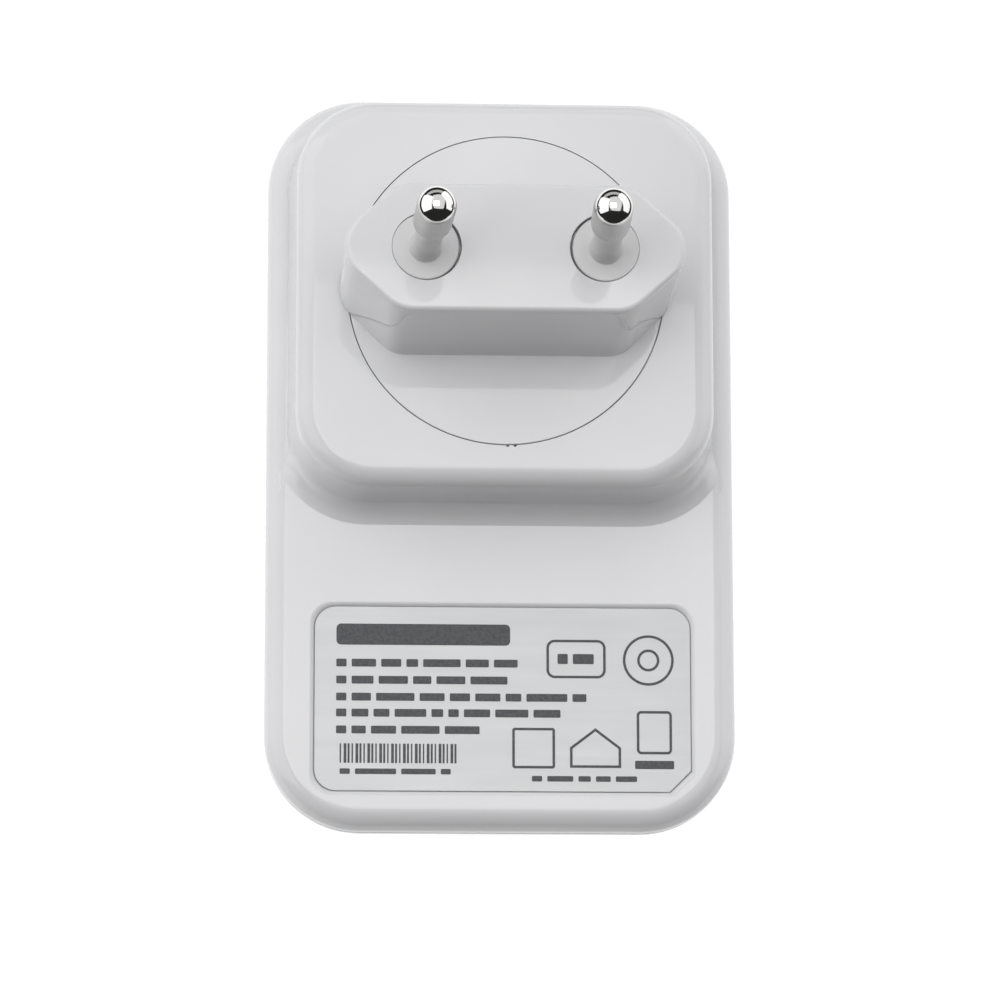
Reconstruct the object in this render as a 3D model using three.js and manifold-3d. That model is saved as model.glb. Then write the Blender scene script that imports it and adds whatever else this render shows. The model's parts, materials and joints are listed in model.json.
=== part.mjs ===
// Mains powerline network adapter with a two-pin plug, as an assembly of separate pieces.
// Millimetres, +Z up. The adapter lies on its front face: z = 0 is the front face and the pins
// point up. +Y is the plug end, -Y the network socket end, +X is to the right seen from behind.
import * as THREE from "three";
import { mergeVertices } from "three/addons/utils/BufferGeometryUtils.js";
import Module from "manifold-3d";

const wasm = await Module();
wasm.setup();

// ---------------------------------------------------------------- driving dimensions
const BODY_WIDTH = 50.8;
const BODY_LENGTH = 80.8;
const BODY_CORNER = 10.3;
const WALL = 2;
const PARTING_Z = 15.6; // where the front and the rear housing meet
const PARTING_GAP = 0.2;
const FRONT_LIP = 1; // upright band of the front housing below the parting line
const FRONT_DRAFT = 0.255; // inward run of the front housing's wall for each mm of depth
const FRONT_EDGE = 3; // height of the rounding between the wall and the front face
const REAR_Z = 19; // flat rear face beside the label
const REAR_EDGE = 2.5; // rounding between the rear face and the side
const PLATFORM_Z = 30; // flat top of the raised plug platform
const PLATFORM = { halfWidth: 20.1, top: 35, bottom: -2.83, corner: 6.25, edge: 2.25 }; // its flat top
const PLUG_Y = 16.15; // centre of the round plug insert
const DISC_RADIUS = 16.72;
const DISC_GAP = 0.22;
const DISC_THICKNESS = 2.1;
const BLOCK_HEIGHT = 18.9; // plug block above the platform
const BLOCK_Z = PLATFORM_Z + BLOCK_HEIGHT;
const PIN_SPACING = 18.6; // at the plug face
const PIN_LENGTH = 18.5;
const PIN_RADIUS = 2;
const PIN_SHANK = 0.95; // radius inside the sleeve and the block
const PIN_LEAN = 0.55 / 19; // the pins converge towards their tips
const SLEEVE_LENGTH = 10;
const PIN_TAIL = 27.4; // pin below the plug face
const TOUCH_GAP = 0.3; // between pieces that touch

const LABEL = { width: 40.5, length: 20, y: -26.32, corner: 2.3, recess: 0.6, thickness: 0.25 };
const MAIN_BOARD = { z: 4.6, thickness: 1.2 };
const POWER_BOARD = { z: 12, thickness: 1.4 };
const MAIN_TOP = MAIN_BOARD.z + MAIN_BOARD.thickness + TOUCH_GAP; // seat of parts on the main board
const POWER_TOP = POWER_BOARD.z + POWER_BOARD.thickness + TOUCH_GAP;
const JACK = { halfWidth: 8, front: -37.1, back: -20.1, bottom: 2.4, top: 14.1 };
const PORT = { halfWidth: 6, bottom: 3.5, top: 10.4, back: -23.5 };
const LATCH = { halfWidth: 3.1, top: 12.1, back: -28.5 };
const CONTACT_PITCH = 1.016;
const PAIR_BUTTON = { y: -15, z: 8.9, length: 9, height: 4.2, face: 24.55 };
const RESET_Y = -27;
const SWITCH = { back: 13.8, front: 18.2, halfWidth: 3, top: 11, boreDepth: 1.6 };
const LIGHT_Y = 24;
const LIGHT_SPACING = 7;

// ---------------------------------------------------------------- materials
const material = (color, roughness, metalness = 0) =>
  new THREE.MeshStandardMaterial({ color, roughness, metalness });
const WHITE_PLASTIC = material(0xe9eaec, 0.18);
const LABEL_SILVER = material(0xc9cacc, 0.45);
const NICKEL = material(0xd6d3cd, 0.12, 1);
const STEEL = material(0xb5b7ba, 0.35, 1);
const GOLD = material(0xd9b45a, 0.25, 1);
const BLACK_PLASTIC = material(0x1c1d1f, 0.5);
const GREEN_BOARD = material(0x1f5a38, 0.5);
const CLEAR = material(0xe4eef2, 0.1);
const FERRITE = material(0x3a3a3d, 0.7);
const COPPER = material(0xb56a35, 0.4, 1);
const YELLOW_FILM = material(0xe0b82e, 0.4);
const CAPACITOR_SLEEVE = material(0x20242c, 0.4);
const BLUE_EPOXY = material(0x2c5a9c, 0.4);

// ---------------------------------------------------------------- solid helpers
function toSolid(geometry) {
  const bare = geometry.clone();
  bare.deleteAttribute("normal");
  bare.deleteAttribute("uv");
  const merged = mergeVertices(bare, 1e-4);
  return new wasm.Manifold(
    new wasm.Mesh({
      numProp: 3,
      vertProperties: new Float32Array(merged.attributes.position.array),
      triVerts: new Uint32Array(merged.index.array),
    }),
  );
}

function toGeometry(solid) {
  const mesh = solid.getMesh();
  const geometry = new THREE.BufferGeometry();
  geometry.setAttribute("position", new THREE.BufferAttribute(mesh.vertProperties, 3));
  geometry.setIndex(new THREE.BufferAttribute(mesh.triVerts, 1));
  geometry.computeVertexNormals();
  return geometry;
}

const joined = (...solids) => solids.reduce((sum, next) => sum.add(next));
const cut = (body, ...tools) => tools.reduce((rest, tool) => rest.subtract(tool), body);

// A rounded rectangle between x0..x1 and y0..y1, as points that run anticlockwise.
function roundedRect(x0, x1, y0, y1, radius, segments = 6) {
  const corners = [
    [x1 - radius, y0 + radius, -Math.PI / 2],
    [x1 - radius, y1 - radius, 0],
    [x0 + radius, y1 - radius, Math.PI / 2],
    [x0 + radius, y0 + radius, Math.PI],
  ];
  return corners.flatMap(([cx, cy, start]) =>
    Array.from({ length: segments + 1 }, (_, i) => {
      const angle = start + (i / segments) * (Math.PI / 2);
      return new THREE.Vector2(cx + radius * Math.cos(angle), cy + radius * Math.sin(angle));
    }),
  );
}

// A closed skin through a stack of outlines with equal point counts, from the lowest up.
function stack(levels) {
  const count = levels[0].points.length;
  const positions = levels.flatMap(({ z, points }) => points.flatMap((p) => [p.x, p.y, z]));
  const faces = [];
  for (let level = 0; level < levels.length - 1; level++) {
    for (let i = 0; i < count; i++) {
      const a = level * count + i;
      const b = level * count + ((i + 1) % count);
      faces.push(a, b, b + count, a, b + count, a + count);
    }
  }
  const top = (levels.length - 1) * count;
  for (let i = 1; i < count - 1; i++) {
    faces.push(0, i + 1, i);
    faces.push(top, top + i, top + i + 1);
  }
  const geometry = new THREE.BufferGeometry();
  geometry.setAttribute("position", new THREE.Float32BufferAttribute(positions, 3));
  geometry.setIndex(faces);
  return toSolid(geometry);
}

function box(x0, x1, y0, y1, z0, z1) {
  const geometry = new THREE.BoxGeometry(x1 - x0, y1 - y0, z1 - z0);
  geometry.translate((x0 + x1) / 2, (y0 + y1) / 2, (z0 + z1) / 2);
  return toSolid(geometry);
}

const blockAt = (x, y, z, width, length, height) =>
  box(x - width / 2, x + width / 2, y - length / 2, y + length / 2, z, z + height);

function plate(outline, z0, z1) {
  const geometry = new THREE.ExtrudeGeometry(new THREE.Shape(outline), {
    depth: z1 - z0,
    bevelEnabled: false,
    curveSegments: 6,
  });
  geometry.translate(0, 0, z0);
  return toSolid(geometry);
}

// A turned piece about Z through (x, y); the profile is a list of [radius, z] from low to high.
function turned(profile, x = 0, y = 0, segments = 24) {
  const points = profile.map(([radius, z]) => new THREE.Vector2(radius, z));
  const geometry = new THREE.LatheGeometry(points, segments);
  geometry.rotateX(Math.PI / 2);
  geometry.translate(x, y, 0);
  return toSolid(geometry);
}

const cylinder = (radius, z0, z1, x = 0, y = 0, segments = 24) =>
  turned([[0, z0], [radius, z0], [radius, z1], [0, z1]], x, y, segments);

const ring = (inner, outer, z0, z1, x = 0, y = 0, segments = 32) =>
  turned([[inner, z0], [outer, z0], [outer, z1], [inner, z1], [inner, z0]], x, y, segments);

// The same turned piece lying along +X or +Y from the point (x, y, z).
function lying(profile, axis, x, y, z, segments = 20) {
  const points = profile.map(([radius, along]) => new THREE.Vector2(radius, along));
  const geometry = new THREE.LatheGeometry(points, segments);
  if (axis === "x") geometry.rotateZ(-Math.PI / 2);
  geometry.translate(x, y, z);
  return toSolid(geometry);
}

// ---------------------------------------------------------------- housings
function bodyOutline(inset) {
  const halfWidth = BODY_WIDTH / 2 - inset;
  const halfLength = BODY_LENGTH / 2 - inset;
  return roundedRect(-halfWidth, halfWidth, -halfLength, halfLength, BODY_CORNER - inset);
}

const bodyStack = (levels) => stack(levels.map(([z, inset]) => ({ z, points: bodyOutline(inset) })));

// How far the front housing's wall has drawn in at a height below its upright lip.
function frontInset(z) {
  return Math.max(0, PARTING_Z - PARTING_GAP - FRONT_LIP - z) * FRONT_DRAFT;
}

// Outer shape of the front housing: lip, drafted wall, then a quarter ellipse to the front face.
function frontOuter() {
  const edgeInset = frontInset(FRONT_EDGE);
  const edgeRun = 3.6;
  const levels = [0, 22, 45, 68].map((degrees) => {
    const angle = THREE.MathUtils.degToRad(degrees);
    return [FRONT_EDGE * (1 - Math.cos(angle)), edgeInset + edgeRun * (1 - Math.sin(angle))];
  });
  const wallTop = PARTING_Z - PARTING_GAP;
  levels.push([FRONT_EDGE, edgeInset], [wallTop - FRONT_LIP, 0], [wallTop, 0]);
  return bodyStack(levels);
}

function frontInner() {
  const wallTop = PARTING_Z - PARTING_GAP;
  return bodyStack([
    [WALL, frontInset(FRONT_EDGE) + WALL + 1.2],
    [FRONT_EDGE + 0.4, frontInset(FRONT_EDGE + 0.4) + WALL],
    [wallTop - FRONT_LIP, WALL],
    [wallTop + 1, WALL],
  ]);
}

const SCREW_POSTS = [-17, 17].map((x) => ({ x, y: 8 }));

function frontHousing() {
  const postTop = MAIN_BOARD.z - TOUCH_GAP;
  const posts = SCREW_POSTS.map(({ x, y }) => ring(1.3, 2.7, WALL - 0.4, postTop, x, y, 20));
  const portHalf = JACK.halfWidth + TOUCH_GAP;
  const portBottom = JACK.bottom - TOUCH_GAP;
  const portTop = JACK.top + TOUCH_GAP;
  const portCut = box(-portHalf, portHalf, -BODY_LENGTH, JACK.front + 4, portBottom, portTop);
  const { y, length, height } = PAIR_BUTTON;
  const buttonCut = pill(length + 2 * TOUCH_GAP, height + 2 * TOUCH_GAP, 18, 30, y);
  const resetCut = lying([[0, 0], [0.9, 0], [0.9, 12], [0, 12]], "x", 18, RESET_Y, PAIR_BUTTON.z, 16);
  const lightCuts = [-1, 0, 1].map((i) => cylinder(1.4, -1, WALL + 1, i * LIGHT_SPACING, LIGHT_Y));
  const shell = joined(cut(frontOuter(), frontInner()), ...posts);
  return cut(shell, portCut, buttonCut, resetCut, ...lightCuts);
}

// A pill shape in the YZ plane, pushed along X from x0 to x1, centred on the pair button's height.
function pill(length, height, x0, x1, y) {
  const outline = roundedRect(-length / 2, length / 2, -height / 2, height / 2, height / 2 - 0.01, 5);
  const shape = new THREE.Shape(outline);
  const geometry = new THREE.ExtrudeGeometry(shape, { depth: x1 - x0, bevelEnabled: false });
  geometry.rotateX(Math.PI / 2);
  geometry.rotateZ(Math.PI / 2);
  geometry.translate(x0, y, PAIR_BUTTON.z);
  return toSolid(geometry);
}

// Outward run of the platform's wall at a depth below its top: a quarter round, then a slight draft.
function wallRun(depth, draft) {
  const { edge } = PLATFORM;
  if (depth >= edge) return edge + (depth - edge) * draft;
  return Math.sqrt(edge * edge - (edge - depth) ** 2);
}

const CORNER_STEPS = 8;

// The hollow curve at the foot of the platform's wall, on the label side. Its slope runs from
// steep to flat over the given turn, and it goes on straight into the body below.
const COVE = { depth: 8.5, radius: 4.1, steep: 15, flat: 60 };

function coveRun(depth) {
  const steep = THREE.MathUtils.degToRad(COVE.steep);
  const flat = THREE.MathUtils.degToRad(COVE.flat);
  const fullDrop = COVE.radius * (Math.sin(flat) - Math.sin(steep));
  const drop = Math.max(0, depth - COVE.depth);
  const turn = Math.asin(Math.min(Math.sin(flat), Math.sin(steep) + drop / COVE.radius));
  const beyond = Math.max(0, drop - fullDrop);
  return COVE.radius * (Math.cos(steep) - Math.cos(turn)) + beyond * Math.tan(flat);
}

// Outline of the platform at a depth below its top, moved inwards by an inset.
function platformOutline(depth, inset = 0) {
  const side = wallRun(depth, 0.09) - inset;
  const near = wallRun(depth, 0.05) - inset;
  const { halfWidth, top, bottom, corner, edge } = PLATFORM;
  const radius = corner + Math.min(side, edge);
  return roundedRect(-halfWidth - side, halfWidth + side, bottom - near, top + side, radius, CORNER_STEPS);
}

// Spreads a platform outline by the cove: fully along the label side, fading out round the corners.
function spread(outline, run) {
  return outline.map(({ x, y }, i) => {
    const corner = Math.floor(i / (CORNER_STEPS + 1));
    const step = (i % (CORNER_STEPS + 1)) / CORNER_STEPS;
    const rightSide = corner === 0;
    const reach = rightSide ? 1 - step : step;
    const share = rightSide || corner === 3 ? Math.min(1, reach / 0.35) : 0;
    const angle = rightSide ? ((step - 1) * Math.PI) / 2 : Math.PI * (1 + step / 2);
    return new THREE.Vector2(x + share * run * Math.cos(angle), y + share * run * Math.sin(angle));
  });
}

function platformStack(levels) {
  const rings = levels.map(([depth, inset]) => ({
    z: PLATFORM_Z - depth,
    points: platformOutline(depth, inset),
  }));
  return stack(rings);
}

// The platform with its rounded rim, its wall and the cove, down into the body's rear wall.
function platformOuter() {
  const sunk = PLATFORM_Z - REAR_Z + 0.5;
  const low = spread(platformOutline(sunk), coveRun(sunk));
  const rings = [{ z: PLATFORM_Z - sunk - 0.5, points: low }];
  for (const depth of [sunk, sunk - 0.5, 10.2, 9.3, COVE.depth]) {
    rings.push({ z: PLATFORM_Z - depth, points: spread(platformOutline(depth), coveRun(depth)) });
  }
  for (const degrees of [0, 18, 36, 54, 72, 90]) {
    const angle = THREE.MathUtils.degToRad(degrees);
    const depth = PLATFORM.edge * (1 - Math.sin(angle));
    rings.push({ z: PLATFORM_Z - depth, points: platformOutline(depth) });
  }
  return stack(rings);
}

function rearOuter() {
  const levels = [[PARTING_Z, 0], [REAR_Z - REAR_EDGE, 0]];
  for (const degrees of [22, 45, 68, 90]) {
    const angle = THREE.MathUtils.degToRad(degrees);
    levels.push([REAR_Z - REAR_EDGE * (1 - Math.sin(angle)), REAR_EDGE * (1 - Math.cos(angle))]);
  }
  return joined(bodyStack(levels), platformOuter());
}

function rearInner() {
  const body = bodyStack([[PARTING_Z - 3, WALL], [REAR_Z - 1.8, WALL]]);
  const platform = platformStack([[PLATFORM_Z - PARTING_Z, WALL], [8, WALL], [WALL, WALL]]);
  return joined(body, platform);
}

// The inner lip that locates the rear housing in the front housing.
function locatingLip() {
  const outer = bodyStack([[PARTING_Z - 1.4, WALL + 0.4], [PARTING_Z + 1.2, WALL + 0.4]]);
  const inner = bodyStack([[PARTING_Z - 2, WALL + 1.3], [PARTING_Z + 2, WALL + 1.3]]);
  const tie = bodyStack([[PARTING_Z + 0.1, WALL - 0.5], [PARTING_Z + 1.2, WALL - 0.5]]);
  const gapHalf = JACK.halfWidth + 2 * TOUCH_GAP;
  const jackGap = box(-gapHalf, gapHalf, -BODY_LENGTH, JACK.back, 0, PARTING_Z + 0.05);
  return cut(joined(outer, tie), inner, jackGap);
}

const KEY = { halfWidth: 0.55, depth: 0.5, clearance: 0.25, cover: 0.8 };
const INSERT_SCREW_X = 15.6;
const SEAT_Z = PLATFORM_Z - DISC_THICKNESS - TOUCH_GAP; // the ledge that the plug insert rests on

function rearHousing() {
  const ledge = ring(13, 18.6, SEAT_Z - 1.6, PLATFORM_Z - 1, 0, PLUG_Y, 72);
  const opening = cylinder(DISC_RADIUS + DISC_GAP, SEAT_Z, PLATFORM_Z + 1, 0, PLUG_Y, 72);
  const centre = cylinder(13, SEAT_Z - 4, PLATFORM_Z, 0, PLUG_Y, 48);
  const screwHoles = [-1, 1].map((side) =>
    cylinder(1.4, SEAT_Z - 4, PLATFORM_Z, side * INSERT_SCREW_X, PLUG_Y, 16));
  const keyY = PLUG_Y - DISC_RADIUS - DISC_GAP;
  const keyHalf = KEY.halfWidth - KEY.clearance;
  const key = box(-keyHalf, keyHalf, keyY - 1, keyY + KEY.depth, SEAT_Z - 0.5,
    PLATFORM_Z - KEY.cover - TOUCH_GAP);
  const shell = joined(cut(rearOuter(), rearInner()), locatingLip(), ledge);
  const bored = cut(shell, opening, centre, ...screwHoles, labelRecess());
  return joined(bored, key);
}

function labelOutline(grow) {
  const halfWidth = LABEL.width / 2 + grow;
  const halfLength = LABEL.length / 2 + grow;
  const segments = 5;
  const outline = roundedRect(-halfWidth, halfWidth, LABEL.y - halfLength, LABEL.y + halfLength,
    LABEL.corner, segments);
  // The lower right corner comes first in the outline, and it is cut off straight.
  return outline.filter((_, i) => i === 0 || i >= segments);
}

const labelRecess = () => plate(labelOutline(0), REAR_Z - LABEL.recess, REAR_Z + 1);

const ratingLabel = () => {
  const bottom = REAR_Z - LABEL.recess + TOUCH_GAP;
  return plate(labelOutline(-0.15), bottom, bottom + LABEL.thickness);
};

// ---------------------------------------------------------------- plug
const BLOCK = { tipX: 17.75, tipHalf: 1.7, cornerX: 12.3, sideY: 7.2, draft: 0.4, edge: 0.6, soften: 1.6 };

// The flat-sided plug block: a long hexagon with blunt tips, at a height above the platform.
function blockOutline(height) {
  const draft = (BLOCK.draft * height) / BLOCK_HEIGHT;
  const intoEdge = Math.max(0, height - (BLOCK_HEIGHT - BLOCK.edge)) / BLOCK.edge;
  const shrink = BLOCK.edge * (1 - Math.sqrt(1 - Math.min(1, intoEdge) ** 2));
  const tipX = BLOCK.tipX - draft / 2 - shrink;
  const cornerX = BLOCK.cornerX - draft / 2 - shrink / 2;
  const sideY = BLOCK.sideY - draft - shrink;
  const half = [[tipX, BLOCK.tipHalf], [cornerX, sideY], [-cornerX, sideY], [-tipX, BLOCK.tipHalf]];
  const loop = [...half, ...half.map(([x, y]) => [-x, -y])].map(([x, y]) => new THREE.Vector2(x, y));
  return softened(loop, BLOCK.soften, 4).map((point) => onPlug(point));
}

// Moves a point of the plug's own outline to the plug's place on the platform.
const onPlug = (point) => new THREE.Vector2(point.x, point.y + PLUG_Y);

// Replaces each corner of a closed outline by a short curve that starts and ends `reach` from it.
function softened(loop, reach, segments) {
  return loop.flatMap((corner, i) => {
    const before = loop[(i + loop.length - 1) % loop.length];
    const after = loop[(i + 1) % loop.length];
    const limit = (other) => Math.min(reach, corner.distanceTo(other) * 0.45) / corner.distanceTo(other);
    const start = corner.clone().lerp(before, limit(before));
    const end = corner.clone().lerp(after, limit(after));
    return new THREE.QuadraticBezierCurve(start, corner, end).getPoints(segments);
  });
}

function plugBlock() {
  const edgeStart = BLOCK_HEIGHT - BLOCK.edge;
  const heights = [TOUCH_GAP, edgeStart, edgeStart + 0.35, edgeStart + 0.52, BLOCK_HEIGHT];
  return stack(heights.map((height) => ({ z: PLATFORM_Z + height, points: blockOutline(height) })));
}

// A round cutter that leans with one pin.
function leaningBore(radius, z0, z1, side) {
  const bore = new THREE.CylinderGeometry(radius, radius, z1 - z0, 20);
  bore.rotateX(Math.PI / 2);
  bore.translate(0, 0, (z0 + z1) / 2 - BLOCK_Z);
  bore.rotateY(-side * Math.atan(PIN_LEAN));
  bore.translate((side * PIN_SPACING) / 2, PLUG_Y, BLOCK_Z);
  return toSolid(bore);
}

const FLANGE = { radius: 3.25, thickness: 1.5, sunk: 0.25 };
const SOCKET_WELL = { radius: 3.6, offset: 9.11, depth: FLANGE.thickness + FLANGE.sunk + TOUCH_GAP };
const TUBE = { radius: 2.1, length: 6 };

function plugInsert() {
  const rim = 0.25;
  const discBottom = PLATFORM_Z - DISC_THICKNESS;
  const disc = turned([[0, discBottom], [DISC_RADIUS, discBottom], [DISC_RADIUS, PLATFORM_Z - rim],
    [DISC_RADIUS - rim, PLATFORM_Z], [0, PLATFORM_Z]], 0, PLUG_Y, 72);
  const hub = cylinder(12.6, 22.6, discBottom + 0.5, 0, PLUG_Y, 36);
  const blockFoot = plate(blockOutline(0), PLATFORM_Z - 0.5, PLATFORM_Z + TOUCH_GAP + 0.2);
  const insideDisc = cylinder(DISC_RADIUS - 0.35, PLATFORM_Z - 1, PLATFORM_Z + 1, 0, PLUG_Y, 72);
  const neck = blockFoot.intersect(insideDisc);
  const discFront = PLUG_Y - DISC_RADIUS;
  const keySlot = box(-KEY.halfWidth, KEY.halfWidth, discFront - 1, discFront + KEY.depth + 0.1,
    discBottom - 1, PLATFORM_Z - KEY.cover);
  const wellBottom = BLOCK_Z - SOCKET_WELL.depth;
  const wells = [-1, 1].flatMap((side) => [
    cylinder(SOCKET_WELL.radius, wellBottom, BLOCK_Z + 1, side * SOCKET_WELL.offset, PLUG_Y, 36),
    leaningBore(TUBE.radius + TOUCH_GAP, wellBottom - TUBE.length, BLOCK_Z, side),
    leaningBore(PIN_SHANK + TOUCH_GAP, 18, BLOCK_Z, side),
    cylinder(1.3, 20, PLATFORM_Z + 4, side * INSERT_SCREW_X, PLUG_Y, 16),
  ]);
  return cut(joined(disc, hub, neck, plugBlock()), keySlot, ...wells);
}

// Pins and sleeves are turned about their own axis with z = 0 at the plug face.
function mainsPin() {
  const shoulder = SLEEVE_LENGTH + TOUCH_GAP;
  const domeStart = PIN_LENGTH - PIN_RADIUS;
  const dome = [15, 30, 45, 60, 75].map((degrees) => {
    const angle = THREE.MathUtils.degToRad(degrees);
    return [PIN_RADIUS * Math.cos(angle), domeStart + PIN_RADIUS * Math.sin(angle)];
  });
  return turned([[0, -PIN_TAIL], [PIN_SHANK, -PIN_TAIL], [PIN_SHANK, shoulder], [PIN_RADIUS, shoulder],
    [PIN_RADIUS, domeStart], ...dome, [0, PIN_LENGTH]]);
}

function pinSleeve() {
  const bore = PIN_SHANK + TOUCH_GAP;
  const flangeTop = -FLANGE.sunk;
  const flangeBottom = flangeTop - FLANGE.thickness;
  const tubeBottom = flangeBottom - TUBE.length + 0.6;
  return turned([[bore, tubeBottom], [TUBE.radius, tubeBottom], [TUBE.radius, flangeBottom],
    [FLANGE.radius, flangeBottom], [FLANGE.radius, flangeTop - 0.15], [FLANGE.radius - 0.15, flangeTop],
    [1.9, flangeTop], [1.86, 1.2], [1.6, 1.5], [1.6, SLEEVE_LENGTH], [bore, SLEEVE_LENGTH],
    [bore, tubeBottom]]);
}

function pinContact() {
  const top = BLOCK_Z - PIN_TAIL - TOUCH_GAP;
  const post = blockAt(0, 0, POWER_TOP, 0.8, 3.6, top - POWER_TOP);
  const tongue = box(-0.4, 3.2, -1.8, 1.8, top - 0.6, top);
  const foot = box(-1.6, 0.4, -1.8, 1.8, POWER_TOP, POWER_TOP + 0.6);
  return joined(post, tongue, foot);
}

// Self-tapping screw about its own axis, head down, thread pointing up.
const insertScrew = () =>
  turned([[0, 0], [2, 0], [2, 1.4], [1, 1.4], [1, 8.6], [0.3, 9.4], [0, 9.4]], 0, 0, 16);

// ---------------------------------------------------------------- boards
function mainBoard() {
  const outline = roundedRect(-20.3, 20.3, -35.4, 35, 5.6, 4);
  const board = plate(outline, MAIN_BOARD.z, MAIN_BOARD.z + MAIN_BOARD.thickness);
  const notch = box(-JACK.halfWidth - 0.4, JACK.halfWidth + 0.4, -50, JACK.back + 0.4, 0, 10);
  const holes = SCREW_POSTS.map(({ x, y }) => cylinder(1.3, 0, 10, x, y, 16));
  return cut(board, notch, ...holes);
}

function powerBoard() {
  const outline = roundedRect(-19.4, 19.4, -18.4, 35.2, 4, 4);
  return plate(outline, POWER_BOARD.z, POWER_BOARD.z + POWER_BOARD.thickness);
}

const boardScrew = (x, y) =>
  turned([[0, 2.4], [1, 2.8], [1, MAIN_TOP], [2.2, MAIN_TOP], [2.2, MAIN_TOP + 1.1], [1.4, MAIN_TOP + 1.5],
    [0, MAIN_TOP + 1.5]], x, y, 16);

const boardSpacer = (x, y) => cylinder(2.4, MAIN_TOP, POWER_BOARD.z - TOUCH_GAP, x, y, 6);

function boardHeader() {
  const body = blockAt(0, 31, MAIN_TOP, 12.7, 5, 3);
  const pins = [-2, -1, 0, 1, 2].map((i) => blockAt(i * 2.54, 31, MAIN_TOP + 2.5, 0.64, 0.64, 2.8));
  return joined(body, ...pins);
}

// ---------------------------------------------------------------- network socket
function ethernetJack() {
  const body = box(-JACK.halfWidth, JACK.halfWidth, JACK.front, JACK.back, JACK.bottom, JACK.top);
  const port = box(-PORT.halfWidth, PORT.halfWidth, JACK.front - 1, PORT.back, PORT.bottom, PORT.top);
  const latch = box(-LATCH.halfWidth, LATCH.halfWidth, JACK.front - 1, LATCH.back, PORT.top - 0.5, LATCH.top);
  return cut(body, port, latch);
}

// A bent spring wire seen from the side, pushed across by its width.
function ethernetContact(index) {
  const width = 0.45;
  const thickness = 0.35;
  const low = PORT.bottom + TOUCH_GAP;
  const high = PORT.bottom + 2.15;
  const { front } = JACK;
  const line = [[front + 1, low], [front + 2, low], [PORT.back - 3.4, high], [PORT.back - 1.4, high]];
  const outline = [...line, ...line.map(([y, z]) => [y, z + thickness]).reverse()];
  const shape = new THREE.Shape(outline.map(([y, z]) => new THREE.Vector2(y, z)));
  const geometry = new THREE.ExtrudeGeometry(shape, { depth: width, bevelEnabled: false });
  geometry.rotateX(Math.PI / 2);
  geometry.rotateZ(Math.PI / 2);
  geometry.translate((index - 3.5) * CONTACT_PITCH - width / 2, 0, 0);
  return toSolid(geometry);
}

// ---------------------------------------------------------------- buttons and lights
function pairButton() {
  const { y, length, height, face } = PAIR_BUTTON;
  const cap = pill(length, height, 20.4, face - 0.35, y);
  const crown = pill(length - 0.7, height - 0.7, face - 0.4, face, y);
  const flange = pill(length + 1.8, height + 1.2, 19.7, 20.5, y);
  const stem = lying([[0, 0], [1, 0], [1, 0.6], [0, 0.6]], "x", 19.3, y, PAIR_BUTTON.z, 16);
  return joined(cap, crown, flange, stem);
}

function switchBody(y) {
  const { back, front, halfWidth, top, boreDepth } = SWITCH;
  const body = box(back, front, y - halfWidth, y + halfWidth, MAIN_TOP, top);
  const bore = lying([[0, 0], [1.3, 0], [1.3, 4], [0, 4]], "x", front - boreDepth, y, PAIR_BUTTON.z);
  return cut(body, bore);
}

// The plunger stands 0.7 mm clear of the bottom of the switch's bore, which leaves room for its travel.
function switchPlunger(y, reach) {
  const start = SWITCH.front - SWITCH.boreDepth + 0.7;
  return lying([[0, 0], [1, 0], [1, reach - 0.2], [0.8, reach], [0, reach]], "x", start, y, PAIR_BUTTON.z);
}

const lightPipe = (x) =>
  turned([[0, 0.1], [1.1, 0.1], [1.1, 2.4], [1.9, 2.4], [1.9, 3.1], [0, 3.1]], x, LIGHT_Y, 20);

const led = (x) => blockAt(x, LIGHT_Y, MAIN_BOARD.z - TOUCH_GAP - 0.8, 1.6, 1.6, 0.8);

// ---------------------------------------------------------------- electronic parts
// Two E-cores face to face, seen from the front; the middle leg carries the coil.
const CORE = {
  x: -10, y: 2.4, halfWidth: 7, depth: 5.6, height: 8.2, leg: 1.8, outerLeg: 1.9, windowHalf: 2.7,
};
const CORE_MIDDLE = POWER_TOP + CORE.height / 2;

function transformerCore() {
  const { x, y, halfWidth, depth, height, leg, outerLeg, windowHalf } = CORE;
  const body = blockAt(x, y, POWER_TOP, 2 * halfWidth, depth, height);
  const windowWidth = halfWidth - outerLeg - leg;
  const windows = [-1, 1].map((side) => {
    const windowX = x + side * (leg + windowWidth / 2);
    return blockAt(windowX, y, CORE_MIDDLE - windowHalf, windowWidth, 10, 2 * windowHalf);
  });
  return cut(body, ...windows);
}

function transformerCoil() {
  const { x, y, halfWidth, depth, leg, outerLeg, windowHalf } = CORE;
  const half = windowHalf - TOUCH_GAP;
  const reach = halfWidth - outerLeg - TOUCH_GAP;
  const outer = blockAt(x, y, CORE_MIDDLE - half, 2 * reach, 10.8, 2 * half);
  const hole = blockAt(x, y, 0, 2 * (leg + TOUCH_GAP), depth + 2 * TOUCH_GAP, 40);
  return cut(outer, hole);
}

// An aluminium capacitor lying along Y, with a rolled edge and a crimp near its open end.
function lyingCapacitor(x, y, radius, length) {
  const crimp = [[radius, 1.4], [radius - 0.4, 1.8], [radius, 2.2]];
  const profile = [[0, 0], [radius - 0.4, 0], [radius, 0.4], ...crimp, [radius, length - 0.5],
    [radius - 0.5, length], [0, length]];
  return lying(profile, "y", x, y, POWER_TOP + radius);
}

function surgeVaristor() {
  const profile = [[0, 0], [3, 0], [3.6, 0.9], [3.6, 2.4], [3, 3.3], [0, 3.3]];
  return lying(profile, "x", 14.4, 11.9, POWER_TOP + 3.6);
}

// Stands a turned profile, whose heights start at the power board, on that board.
const standing = (profile, x, y) => turned(profile.map(([r, z]) => [r, POWER_TOP + z]), x, y, 20);

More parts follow.
